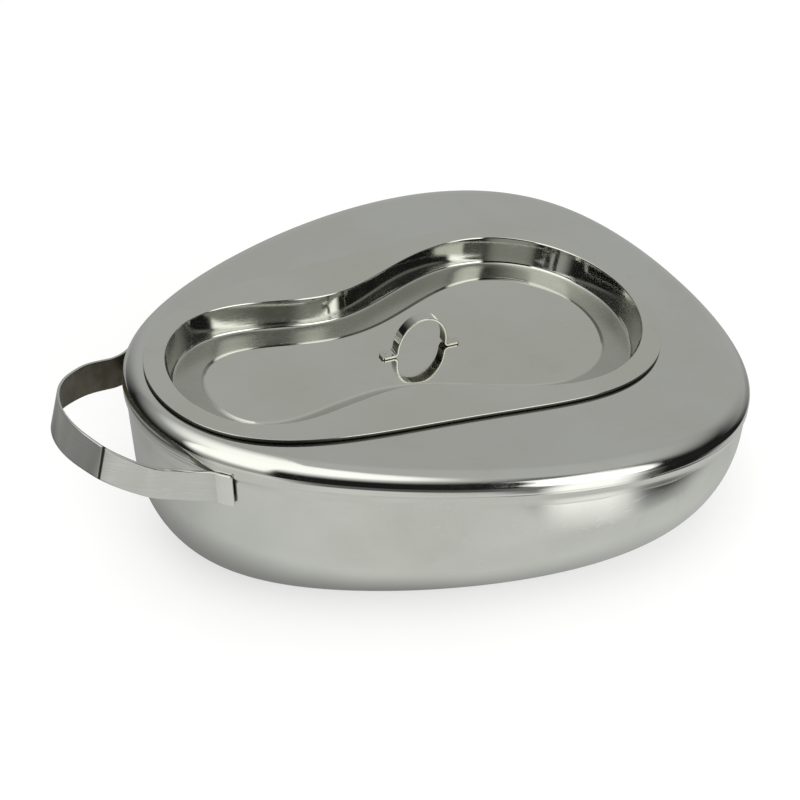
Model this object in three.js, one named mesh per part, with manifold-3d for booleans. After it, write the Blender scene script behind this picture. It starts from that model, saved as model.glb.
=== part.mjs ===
// Stainless steel bedpan with a drop-in lid: a wedge-shaped, egg-plan pan made of two
// pressings joined at the rim, a pear-shaped seat opening closed by a flanged, dished
// lid with an upright finger loop, and a U-shaped carrying strap welded at the narrow end.
//
// Millimetres, +Z up, standing on Z = 0. +X points to the wide, low end; the strap
// handle is at -X. The pan is symmetric about the XZ plane.
import * as THREE from 'three';
import { ParametricGeometry } from 'three/addons/geometries/ParametricGeometry.js';
import { mergeVertices } from 'three/addons/utils/BufferGeometryUtils.js';
import Module from 'manifold-3d';

const wasm = await Module();
wasm.setup();

// ---------------------------------------------------------------- driving dimensions
const ORIGIN_SHIFT = 21.589;       // moves the model so that its box is centred on the origin
const SHEET = 0.8;               // sheet thickness of the pressings
const GAP = 0.3;                 // clearance between touching pieces
const STEPS = 64;                // points around each closed outline

const SEAT_HEIGHT = 105.24;      // height of the lid's flange face above the floor at x = 0
const SEAT_SLOPE = 0.09504;      // radians, the seat falls towards +X
const CORNER_IN = 12.0;          // how far the rounded rim corner reaches inwards
const SKIRT = 4.0;               // seat shell skirt below the widest line
const BOWL_IN = 45.0;            // bottom corner: horizontal half axis
const BOWL_UP = 62.8;            // bottom corner: vertical half axis
const PAN_INSET = SHEET + GAP;   // the pan's wall stands inside the skirt

// closed outlines as cosine and sine series of one angle: [x terms, y terms, x offset]
const OUTLINE = { c: [177.5, 0.51, -5.7, -1.74], s: [137.59, 19.23, 1.84, -1.7], x0: 0 };
const PEAR = { c: [130.5, -3.06, 7.36, -4.33], s: [70.32, 7.21, 14.6, -8.23], x0: -4.98 };
const FLANGE = { c: [143.26, -5.95, 4.49, 0.28], s: [93.34, 5.78, 10.89, -0.89], x0: -8.26 };

const FLANGE_THICK = 2.0;        // lid flange at its hemmed edge
const HEM = 7.0;                 // width of the folded hem
const RECESS = 15.5;             // depth of the lid's dish
const DRAFT = 1.2;               // the dish narrows by this on each side
const LIP_CLEAR = 2.6;           // seat opening outside the top edge of the dish
const LIP_DEEP = 7.5;            // turned-down lip of the seat opening
const STEP_IN = 19.0;            // crease on the dish floor, in from its wall
const STEP_UP = 0.7;             // the floor inside the crease stands this much higher

const STRAP_THICK = 1.5;
const STRAP_WIDE = 20.0;
const WELD_R = 2.3;              // spot weld nuggets of the strap
const LOOP_X = -5.5;             // centre of the finger loop along the lid
const LOOP_HALF = 15.5;          // half width of the arch outside
const LOOP_TALL = 22.5;          // height of the arch outside
const LOOP_WIDE = 6.6;           // width of the strip
const LOOP_THICK = 1.3;
const LOOP_FOOT = 8.5;           // length of each foot
const LOOP_WELD_R = 1.0;

// ---------------------------------------------------------------- materials
const steel = (color, roughness) => new THREE.MeshStandardMaterial({ color, roughness, metalness: 1.0 });

// ---------------------------------------------------------------- outline helpers
const TAU = Math.PI * 2;
function curveAt(o, t) {
  let x = o.x0, y = 0;
  for (let k = 0; k < 4; k++) { x += o.c[k] * Math.cos((k + 1) * t); y += o.s[k] * Math.sin((k + 1) * t); }
  return [x, y];
}
// point on the outline moved outwards along its own normal
function offsetAt(o, t, out) {
  const e = 1e-4, [ax, ay] = curveAt(o, t - e), [bx, by] = curveAt(o, t + e);
  const dx = bx - ax, dy = by - ay, l = Math.hypot(dx, dy), [x, y] = curveAt(o, t);
  return [x + (dy / l) * out, y - (dx / l) * out];
}
const slope = Math.tan(SEAT_SLOPE), cosS = Math.cos(SEAT_SLOPE);
const planeZ = (x, below = 0) => SEAT_HEIGHT - slope * x - below / cosS;
const SEAT_TOP = FLANGE_THICK + GAP;           // seat sheet below the flange face
// height of the widest line of the rim
function rimZ(t) {
  const x = curveAt(OUTLINE, t)[0], s = x / 177.5;
  return planeZ(x) - (10.469 + 1.094 * s + 4.287 * (s * s - 0.33));
}
// the turning angle at which the outline has a given x on its +Y side
function angleAtX(o, x) {
  let lo = 0, hi = Math.PI;
  for (let i = 0; i < 60; i++) { const m = (lo + hi) / 2; if (curveAt(o, m)[0] > x) lo = m; else hi = m; }
  return (lo + hi) / 2;
}
const around = (f, n = STEPS) => Array.from({ length: n }, (_, i) => f((i / n) * TAU));

// ---------------------------------------------------------------- mesh helpers
// joins coincident points, drops empty faces and turns the faces outwards
function tidy(geometry) {
  const g = geometry.index ? geometry.toNonIndexed() : geometry;
  g.deleteAttribute('normal'); g.deleteAttribute('uv');
  const m = mergeVertices(g, 1e-4), idx = m.index.array, p = m.attributes.position.array, keep = [];
  let vol = 0;
  const P = (i) => new THREE.Vector3(p[3 * i], p[3 * i + 1], p[3 * i + 2]);
  for (let i = 0; i < idx.length; i += 3) {
    const [a, b, c] = [idx[i], idx[i + 1], idx[i + 2]];
    if (a === b || b === c || a === c) continue;
    keep.push(a, b, c);
    vol += P(a).dot(P(b).cross(P(c)));
  }
  if (vol < 0) for (let i = 0; i < keep.length; i += 3) [keep[i + 1], keep[i + 2]] = [keep[i + 2], keep[i + 1]];
  m.setIndex(keep);
  return m;
}
// a surface through rows of points; every row closes on itself, and the list of rows
// either starts and ends in a single point or comes back to its first row
function skin(rows) {
  const m = rows.length - 1, n = rows[0].length;
  return tidy(new ParametricGeometry((u, v, target) => {
    const i = Math.round(u * n), j = Math.min(m, Math.max(0, Math.round(v * m)));
    const q = rows[j][((i % n) + n) % n];
    target.set(q[0], q[1], q[2]);
  }, n, m));
}
function toManifold(g) {
  return new wasm.Manifold(new wasm.Mesh({
    numProp: 3,
    vertProperties: new Float32Array(g.attributes.position.array),
    triVerts: new Uint32Array(g.index.array),
  }));
}
function fromManifold(man) {
  const m = man.getMesh(), g = new THREE.BufferGeometry();
  g.setAttribute('position', new THREE.BufferAttribute(new Float32Array(m.vertProperties), 3));
  g.setIndex(Array.from(m.triVerts));
  return g;
}
const pan = new THREE.Group();
pan.position.x = ORIGIN_SHIFT;
function add(parent, name, geometry, material) {
  geometry.computeVertexNormals();
  const mesh = new THREE.Mesh(geometry, material);
  mesh.name = name;
  parent.add(mesh);
  return mesh;
}

// ---------------------------------------------------------------- lower pan
// flat base, elliptical bottom corner, upright wall ending inside the skirt
{
  const bowl = (extra, up) => {
    const rows = [];
    for (const a of [90, 78, 66, 55, 44, 33, 22, 11, 0]) {
      const r = THREE.MathUtils.degToRad(a);
      const inset = PAN_INSET + extra + (BOWL_IN - extra) * (1 - Math.cos(r));
      const z = up + (BOWL_UP - up) * (1 - Math.sin(r));
      rows.push(around((t) => [...offsetAt(OUTLINE, t, -inset), z]));
    }
    return rows;
  };
  const lip = (inset, drop) => around((t) => [...offsetAt(OUTLINE, t, -inset), rimZ(t) - drop]);
  const middle = (z) => around(() => [0, 0, z]);
  const ring = (f, z) => around((t) => { const [x, y] = offsetAt(OUTLINE, t, -(PAN_INSET + BOWL_IN)); return [x * f, y * f, z]; });
  const outer = [middle(0), ring(0.5, 0), ...bowl(0, 0), lip(PAN_INSET, 2.0)];
  const inner = [lip(PAN_INSET + SHEET, 2.0), ...bowl(SHEET, SHEET).reverse(), ring(0.5, SHEET), middle(SHEET)];
  add(pan, 'lower_pan', skin([...outer, ...inner]), steel(0xb9bab4, 0.14));
}

// ---------------------------------------------------------------- seat shell
// skirt, rounded rim corner, sloping seat and the turned-down lip of the pear opening
{
  const corner = (extra) => [0, 15, 30, 45, 60, 75, 90].map((a) => {
    const r = THREE.MathUtils.degToRad(a);
    return around((t) => {
      const inset = extra + (CORNER_IN - extra) * (1 - Math.cos(r));
      const [x, y] = offsetAt(OUTLINE, t, -inset), z0 = rimZ(t);
      return [x, y, z0 + (planeZ(x, SEAT_TOP + extra) - z0) * Math.sin(r)];
    });
  });
  const skirtEdge = (inset) => around((t) => [...offsetAt(OUTLINE, t, -inset), rimZ(t) - SKIRT]);
  // seat plane between the rim corner (f = 0) and the opening (f = 1)
  const seat = (f, below) => around((t) => {
    const a = offsetAt(OUTLINE, t, -CORNER_IN), b = offsetAt(PEAR, t, LIP_CLEAR + 3.0);
    const x = a[0] + (b[0] - a[0]) * f, y = a[1] + (b[1] - a[1]) * f;
    return [x, y, planeZ(x, below)];
  });
  // lip of the opening: distance outside the dish edge, depth below the flange face
  const lip = (out, below) => around((t) => {
    const [x, y] = offsetAt(PEAR, t, out);
    return [x - below * Math.sin(SEAT_SLOPE), y, planeZ(x) - below * cosS];
  });
  const R = 3.0, T = SEAT_TOP;
  const rows = [
    skirtEdge(0), ...corner(0), seat(0.5, T),
    lip(LIP_CLEAR + R, T), lip(LIP_CLEAR + R * 0.5, T + R * 0.134), lip(LIP_CLEAR + R * 0.134, T + R * 0.5), lip(LIP_CLEAR, T + R), lip(LIP_CLEAR, T + LIP_DEEP),
    lip(LIP_CLEAR + SHEET, T + LIP_DEEP), lip(LIP_CLEAR + SHEET, T + R), lip(LIP_CLEAR + R * 0.5 + SHEET * 0.5, T + R * 0.134 + SHEET * 0.866), lip(LIP_CLEAR + R, T + SHEET),
    seat(0.5, T + SHEET), ...corner(SHEET).reverse(), skirtEdge(SHEET),
  ];
  rows.push(rows[0]);
  add(pan, 'seat_shell', skin(rows), steel(0xb4b5ae, 0.14));
}

// ---------------------------------------------------------------- seam weld under the skirt
// a continuous fillet in the step between the skirt's edge and the pan's wall
{
  const at = (inset, drop) => around((t) => [...offsetAt(OUTLINE, t, -inset), rimZ(t) - SKIRT - drop]);
  const rows = [at(SHEET, GAP), at(0.05, GAP), at(0.15, 0.75), at(SHEET * 0.6, 1.35), at(SHEET, 1.6)];
  rows.push(rows[0]);
  add(pan, 'rim_seam_weld', skin(rows), steel(0xa9a79e, 0.35));
}

// ---------------------------------------------------------------- strap handle
// one flat strip bent into a U; its two ends lie on the pan's side walls
{
  const tF = angleAtX(OUTLINE, -142.5), tM = angleAtX(OUTLINE, -146.5), tK = angleAtX(OUTLINE, -150.5);
  const onWall = (t) => offsetAt(OUTLINE, t, -PAN_INSET + GAP + STRAP_THICK / 2);
  // half of the U from the end on the wall to the tip: plan position, depth of the top
  // edge below the flange face, and how far the strip leans outwards per unit of width
  const half = [
    [...onWall(tF), 13.8, -0.095], [...onWall(tM), 14.3, -0.095], [...onWall(tK), 14.9, -0.095],
    [-158.6, 52.7, 16.2, -0.09], [-165.6, 49.5, 15.6, -0.075], [-171.2, 48.0, 14.6, -0.06], [-176.5, 46.2, 13.3, -0.03],
    [-182.8, 42.5, 11.2, 0.02], [-190.2, 36.1, 8.7, 0.1], [-197.2, 27.9, 5.8, 0.16], [-202.5, 18.9, 3.9, 0.2], [-205.5, 9.8, 3.0, 0.225],
  ];
  const full = [...half, [-206.6, 0, 2.8, 0.23], ...[...half].reverse().map(([x, y, o, k]) => [x, -y, o, k])];
  const tops = [], lows = [];
  for (const [x, y, below, lean] of full) {
    // seat-plane frame: sx along the slope, n along its normal
    const sx = Math.cos(SEAT_SLOPE), sz = -Math.sin(SEAT_SLOPE), nx = Math.sin(SEAT_SLOPE), nz = Math.cos(SEAT_SLOPE);
    const top = new THREE.Vector3(x - below * nx, y, planeZ(x) - below * nz);
    const d = new THREE.Vector3(nx + lean * sx, 0, nz + lean * sz).normalize();
    tops.push(top);
    lows.push(top.clone().addScaledVector(d, -STRAP_WIDE));
  }
  // stations where the wall is touched keep their own points; the rest is smoothed
  const cTop = new THREE.CatmullRomCurve3(tops, false, 'centripetal'), cLow = new THREE.CatmullRomCurve3(lows, false, 'centripetal');
  const N = 54, sections = [];
  const stations = Array.from({ length: N + 1 }, (_, i) => i / N);
  for (const s of stations) {
    const a = cTop.getPoint(s), b = cLow.getPoint(s);
    const e = 1e-3, t0 = cTop.getPoint(Math.max(0, s - e)), t1 = cTop.getPoint(Math.min(1, s + e));
    const along = t1.sub(t0).normalize(), up = a.clone().sub(b).normalize();
    const out = new THREE.Vector3().crossVectors(along, up).normalize();
    const h = STRAP_THICK / 2, c = 0.45, q = (p, du, dn) => { const v = p.clone().addScaledVector(up, du).addScaledVector(out, dn); return [v.x, v.y, v.z]; };
    sections.push([q(a, -c, h), q(a, 0, h - c), q(a, 0, -h + c), q(a, -c, -h), q(b, c, -h), q(b, 0, -h + c), q(b, 0, h - c), q(b, c, h)]);
  }
  const mid = (sec) => { const m = [0, 1, 2].map((k) => sec.reduce((s, p) => s + p[k], 0) / sec.length); return sec.map(() => m); };
  let strap = toManifold(skin([mid(sections[0]), ...sections, mid(sections[N])]));

  // spot welds: two nuggets per end, one above the other, through holes in the strip
  const spots = [];
  for (const side of [1, -1]) {
    const t = angleAtX(OUTLINE, -146.6), e = 1e-4;
    const [ax, ay] = curveAt(OUTLINE, t - e), [bx, by] = curveAt(OUTLINE, t + e), l = Math.hypot(bx - ax, by - ay);
    const normal = new THREE.Vector3((by - ay) / l, (-(bx - ax) / l) * side, 0);
    const [px, py] = offsetAt(OUTLINE, t, 0);
    for (const drop of [5.2, 14.6]) {
      const z = planeZ(px) - 14.3 - drop;
      spots.push({ side, drop, at: new THREE.Vector3(px, py * side, z), normal });
    }
  }
  const rod = (r, from, to, spot, domed) => {
    const profile = domed
      ? [[0, from], [r, from], [r, to - 0.35], [r * 0.7, to - 0.1], [0, to]]
      : [[0, from], [r, from], [r, to], [0, to]];
    const g = new THREE.LatheGeometry(profile.map(([x, y]) => new THREE.Vector2(x, y)), 14);
    g.applyQuaternion(new THREE.Quaternion().setFromUnitVectors(new THREE.Vector3(0, 1, 0), spot.normal));
    g.translate(spot.at.x, spot.at.y, spot.at.z);
    return tidy(g);
  };
  for (const s of spots) strap = strap.subtract(toManifold(rod(WELD_R + GAP, -3, 4, s, false)));
  add(pan, 'handle_strap', fromManifold(strap), steel(0xbdbcb3, 0.2));
  const names = ['handle_spot_weld_left_top', 'handle_spot_weld_left_bottom', 'handle_spot_weld_right_top', 'handle_spot_weld_right_bottom'];
  const inner = -PAN_INSET + GAP;
  spots.forEach((s, i) => add(pan, names[i], rod(WELD_R, inner + 0.05, inner + STRAP_THICK + 0.25, s, true), steel(0x9c978a, 0.3)));
}

// ---------------------------------------------------------------- lid
// built in the frame of the seat: its own Z is the seat's normal, its Z = 0 the flange face
const lid = new THREE.Group();
lid.position.z = SEAT_HEIGHT;
lid.rotation.y = SEAT_SLOPE;
pan.add(lid);
{
  const at = (o, out, z) => around((t) => [...offsetAt(o, t, out), z]);
  const inward = (f, z) => around((t) => { const [x, y] = offsetAt(PEAR, t, -STEP_IN - 1.6); return [LOOP_X + (x - LOOP_X) * f, y * f, z]; });
  const blend = (f, z) => around((t) => { const a = offsetAt(PEAR, t, 2.0), b = offsetAt(FLANGE, t, -HEM); return [a[0] + (b[0] - a[0]) * f, a[1] + (b[1] - a[1]) * f, z]; });
  const centre = (z) => around(() => [LOOP_X, 0, z]);
  const F = -RECESS, h = FLANGE_THICK;
  const rows = [
    centre(F), inward(0.5, F), at(PEAR, -STEP_IN - 1.6, F), at(PEAR, -STEP_IN, F - STEP_UP),
    // floor margin, bottom fillet, wall, top fillet
    at(PEAR, -DRAFT - 3.0, F - STEP_UP), at(PEAR, -DRAFT - 0.9, F - STEP_UP + 0.9), at(PEAR, -DRAFT, F + 2.3),
    at(PEAR, -0.2, -2.0), at(PEAR, 0.4, -0.6), at(PEAR, 2.0, 0),
    // flange and the folded hem
    at(FLANGE, -HEM, 0), at(FLANGE, -0.7, 0), at(FLANGE, 0, -0.7), at(FLANGE, 0, -h + 0.7), at(FLANGE, -0.7, -h),
    at(FLANGE, -HEM, -h), at(FLANGE, -HEM, -SHEET),
    // under side of the flange and outside of the dish
    at(PEAR, 2.0, -SHEET), at(PEAR, 0.9, -1.6), at(PEAR, -0.2 + SHEET * 0.85, -2.6),
    at(PEAR, -DRAFT + SHEET, F + 1.9), at(PEAR, -DRAFT - 0.3, F - STEP_UP + 0.1), at(PEAR, -DRAFT - 3.0, F - STEP_UP - SHEET),
    at(PEAR, -STEP_IN, F - STEP_UP - SHEET), at(PEAR, -STEP_IN - 1.6, F - SHEET), inward(0.5, F - SHEET), centre(F - SHEET),
  ];
  add(lid, 'lid_panel', skin(rows), steel(0xb2b3aa, 0.1));
}

// ---------------------------------------------------------------- finger loop of the lid
// a flat strip standing on edge as an arch along the lid, its ends turned out as feet
{
  const F = -RECESS + GAP, w = LOOP_WIDE / 2, T = LOOP_THICK;
  const outer = [], inner = [];
  // outer and inner lines of the strip seen from the side, from the +X foot to the -X foot
  const a = LOOP_HALF, b = LOOP_TALL - GAP;
  outer.push([a + LOOP_FOOT, T], [a + 1.6, T], [a + 0.45, T + 0.5], [a, T + 1.7]);
  inner.push([a + LOOP_FOOT, 0], [a + 0.6, 0], [a - T * 0.75, 0.7], [a - T, T + 1.7]);
  const M = 16, z0 = T + 1.7;
  for (let i = 1; i < M; i++) {
    const r = (i / M) * Math.PI;
    outer.push([a * Math.cos(r), z0 + (b - z0) * Math.sin(r)]);
    inner.push([(a - T) * Math.cos(r), z0 + (b - z0 - T) * Math.sin(r)]);
  }
  const mirror = (l, n) => l.slice(0, n).map(([x, z]) => [-x, z]).reverse();
  const so = [...outer, ...mirror(outer, 4)], si = [...inner, ...mirror(inner, 4)];
  const shape = new THREE.Shape([...so, ...si.reverse()].map(([x, z]) => new THREE.Vector2(x, z)));
  const g = new THREE.ExtrudeGeometry(shape, { depth: LOOP_WIDE - 0.6, bevelEnabled: true, bevelThickness: 0.3, bevelSize: 0.25, bevelOffset: -0.25, bevelSegments: 1, steps: 1 });
  g.translate(0, 0, -(LOOP_WIDE - 0.6) / 2);
  g.rotateX(Math.PI / 2);
  g.translate(LOOP_X, 0, F);
  let loop = toManifold(tidy(g));
  const holes = [];
  for (const sx of [1, -1]) for (const sy of [1, -1]) holes.push([LOOP_X + sx * (a + LOOP_FOOT - 3.0), sy * 1.55]);
  const rod = (r, from, to, x, y, n = 12) => {
    const g2 = new THREE.LatheGeometry([[0, from], [r, from], [r, to - 0.2], [r * 0.6, to], [0, to]].map(([p, q]) => new THREE.Vector2(p, q)), n);
    g2.rotateX(Math.PI / 2);
    g2.translate(x, y, 0);
    return tidy(g2);
  };
  for (const [x, y] of holes) loop = loop.subtract(toManifold(rod(LOOP_WELD_R + GAP, F - 2, F + 4, x, y)));
  add(lid, 'lid_loop', fromManifold(loop), steel(0xb6b4a8, 0.2));
  const names = ['loop_spot_weld_wide_left', 'loop_spot_weld_wide_right', 'loop_spot_weld_narrow_left', 'loop_spot_weld_narrow_right'];
  holes.forEach(([x, y], i) => add(lid, names[i], rod(LOOP_WELD_R, F, F + T + 0.1, x, y), steel(0x8f8b7e, 0.3)));
}

export default pan;
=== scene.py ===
import math
import bpy
import numpy as np
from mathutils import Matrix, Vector, noise


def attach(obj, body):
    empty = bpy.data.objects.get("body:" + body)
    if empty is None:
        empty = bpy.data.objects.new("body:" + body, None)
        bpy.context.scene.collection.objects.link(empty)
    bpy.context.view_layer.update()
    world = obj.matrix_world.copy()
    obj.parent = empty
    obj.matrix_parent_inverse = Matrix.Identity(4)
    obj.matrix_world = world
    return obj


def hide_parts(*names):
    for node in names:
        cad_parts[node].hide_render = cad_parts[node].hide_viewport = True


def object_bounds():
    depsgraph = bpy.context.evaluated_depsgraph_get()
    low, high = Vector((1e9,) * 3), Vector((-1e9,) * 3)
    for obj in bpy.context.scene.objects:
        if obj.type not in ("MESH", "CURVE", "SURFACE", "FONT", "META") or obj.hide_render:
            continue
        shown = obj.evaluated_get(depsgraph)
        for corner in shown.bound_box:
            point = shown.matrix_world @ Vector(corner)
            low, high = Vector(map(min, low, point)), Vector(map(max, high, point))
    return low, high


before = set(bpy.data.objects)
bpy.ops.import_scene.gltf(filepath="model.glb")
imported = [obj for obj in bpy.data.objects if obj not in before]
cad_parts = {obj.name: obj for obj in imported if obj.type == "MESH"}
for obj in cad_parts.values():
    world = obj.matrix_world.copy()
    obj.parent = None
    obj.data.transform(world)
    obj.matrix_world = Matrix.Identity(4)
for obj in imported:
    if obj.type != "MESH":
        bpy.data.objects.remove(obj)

CAD_LO, CAD_HI = [list(map(float, v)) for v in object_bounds()]

# ------------------------------------------------------------------ dimensions (mm)
SHIFT = 21.589
SHEET, GAP = 0.8, 0.3
SEAT_H, SLOPE = 105.24, 0.09504
CORNER_IN, SKIRT = 12.0, 4.0
BOWL_IN, BOWL_UP = 45.0, 62.8
PAN_INSET = SHEET + GAP
OUTLINE = ([177.5, 0.51, -5.7, -1.74], [137.59, 19.23, 1.84, -1.7], 0.0)
PEAR = ([130.5, -3.06, 7.36, -4.33], [70.32, 7.21, 14.6, -8.23], -4.98)
FLANGE = ([143.26, -5.95, 4.49, 0.28], [93.34, 5.78, 10.89, -0.89], -8.26)
FLANGE_T, HEM = 2.0, 7.0
RECESS, DRAFT = 15.5, 1.2
LIP_CLEAR, LIP_DEEP = 2.6, 7.5
STEP_IN, STEP_UP = 19.0, 0.7
STRAP_T, STRAP_W = 1.5, 20.0
LOOP_X, LOOP_HALF, LOOP_TALL, LOOP_W, LOOP_T, LOOP_FOOT = -5.5, 15.5, 22.5, 6.6, 1.3, 8.5

TS, CS, SN = math.tan(SLOPE), math.cos(SLOPE), math.sin(SLOPE)
TAU = 2 * math.pi


# ------------------------------------------------------------------ outlines
def curve(o, t):
    x = np.full_like(t, o[2])
    y = np.zeros_like(t)
    for k in range(4):
        x = x + o[0][k] * np.cos((k + 1) * t)
        y = y + o[1][k] * np.sin((k + 1) * t)
    return x, y


def offset(o, t, out):
    dx = np.zeros_like(t)
    dy = np.zeros_like(t)
    for k in range(4):
        dx = dx - o[0][k] * (k + 1) * np.sin((k + 1) * t)
        dy = dy + o[1][k] * (k + 1) * np.cos((k + 1) * t)
    l = np.hypot(dx, dy)
    x, y = curve(o, t)
    return x + dy / l * out, y - dx / l * out


def plane_z(x, below=0.0):
    return SEAT_H - TS * x - below / CS


def rim_z(t):
    x = curve(OUTLINE, t)[0]
    s = x / 177.5
    return plane_z(x) - (10.469 + 1.094 * s + 4.287 * (s * s - 0.33))


def angle_at_x(o, x):
    lo, hi = 0.0, math.pi
    for _ in range(60):
        m = (lo + hi) / 2
        if curve(o, np.array([m]))[0][0] > x:
            lo = m
        else:
            hi = m
    return (lo + hi) / 2


def even(o, n):
    """n turning angles that step evenly along the outline, starting at 0."""
    t = np.linspace(0, TAU, 20001)
    x, y = curve(o, t)
    s = np.concatenate([[0], np.cumsum(np.hypot(np.diff(x), np.diff(y)))])
    return np.interp(np.arange(n) / n * s[-1], s, t)


def rows3(x, y, z):
    return np.stack(np.broadcast_arrays(x, y, z), -1).astype(float)


def fillet(ctrl, radii, seg=5):
    """Rounds the corners of many polylines at once. ctrl is a list of (N, 3) rows."""
    out = [ctrl[0]]
    for k in range(1, len(ctrl) - 1):
        p, r = ctrl[k], radii[k]
        if not r:
            out.append(p)
            continue
        a, b = ctrl[k - 1] - p, ctrl[k + 1] - p
        la, lb = np.linalg.norm(a, axis=1)[:, None], np.linalg.norm(b, axis=1)[:, None]
        a, b = a / la, b / lb
        half = np.arccos(np.clip((a * b).sum(1), -1, 1))[:, None] / 2
        d = np.minimum(r / np.maximum(np.tan(half), 1e-3), 0.46 * np.minimum(la, lb))
        for i in range(seg + 1):
            s = i / seg
            out.append(p + a * d * (1 - s) ** 2 + b * d * s ** 2)
    out.append(ctrl[-1])
    return out


def split(rows, longest):
    """Adds rows so that no two neighbours are further apart than longest."""
    out = [rows[0]]
    for a, b in zip(rows, rows[1:]):
        n = max(1, int(math.ceil(np.linalg.norm(b - a, axis=1).max() / longest)))
        for i in range(1, n + 1):
            out.append(a + (b - a) * (i / n))
    return out


# ------------------------------------------------------------------ meshes
def to_row(p):
    return (np.asarray(p, float) + [SHIFT, 0, 0]) * 0.001


def lid_to_pan(p):
    """The lid is shaped in the seat's frame, whose Z is the seat's normal."""
    p = np.asarray(p, float)
    return np.stack([p[..., 0] * CS + p[..., 2] * SN, p[..., 1], SEAT_H - p[..., 0] * SN + p[..., 2] * CS], -1)


def wavy(co, normals, amount, size, seed):
    """Small hand-polished unevenness, in mm, along the normals."""
    off = Vector((seed * 7.13, seed * 3.77, seed * 5.19))
    h = np.empty(len(co))
    for i, c in enumerate(co):
        v = Vector(c) / size + off
        h[i] = noise.noise(v) + 0.5 * noise.noise(v * 2.3)
    return co + normals * (h * amount)[:, None]


def make_mesh(name, co, faces, smooth=True):
    co = np.clip(co, np.array(CAD_LO) + 2e-6, np.array(CAD_HI) - 2e-6)
    me = bpy.data.meshes.new(name)
    me.from_pydata([tuple(c) for c in co], [], faces)
    me.validate()
    me.update()
    me.polygons.foreach_set("use_smooth", [smooth] * len(me.polygons))
    ob = bpy.data.objects.new(name, me)
    bpy.context.scene.collection.objects.link(ob)
    return ob


def tag(ob, name, values):
    ob.data.attributes.new(name, "FLOAT", "POINT").data.foreach_set("value", np.asarray(values, np.float32))


def volume_sign(co, faces):
    v = 0.0
    for f in faces[:: max(1, len(faces) // 60000)]:
        a = co[f[0]]
        for i in range(1, len(f) - 1):
            v += float(np.dot(a, np.cross(co[f[i]], co[f[i + 1]])))
    return v


def skin(name, rows, wrap=True, start=None, end=None, wave=None, local=False):
    """A closed skin over closed rows. wrap joins the last row to the first; otherwise
    start and end are the points that close it."""
    n = len(rows[0])
    m = len(rows)
    co = np.concatenate(rows)
    faces = []
    last = m if wrap else m - 1
    for j in range(last):
        a, b = j * n, ((j + 1) % m) * n
        for i in range(n):
            k = (i + 1) % n
            faces.append((a + i, a + k, b + k, b + i))
    if not wrap:
        s, e = len(co), len(co) + 1
        co = np.concatenate([co, [start], [end]])
        for i in range(n):
            k = (i + 1) % n
            faces.append((s, k, i))
            faces.append((e, (m - 1) * n + i, (m - 1) * n + k))
    centre = co.mean(0)
    if volume_sign(co - centre, faces) < 0:
        faces = [f[::-1] for f in faces]
    if wave:
        me = bpy.data.meshes.new("tmp")
        me.from_pydata([tuple(c) for c in co], [], faces)
        me.update()
        nr = np.empty(len(co) * 3)
        me.vertices.foreach_get("normal", nr)
        bpy.data.meshes.remove(me)
        co = wavy(co, nr.reshape(-1, 3), *wave)
    if local:
        co = lid_to_pan(co)
    return make_mesh(name, to_row(co), faces)


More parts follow.
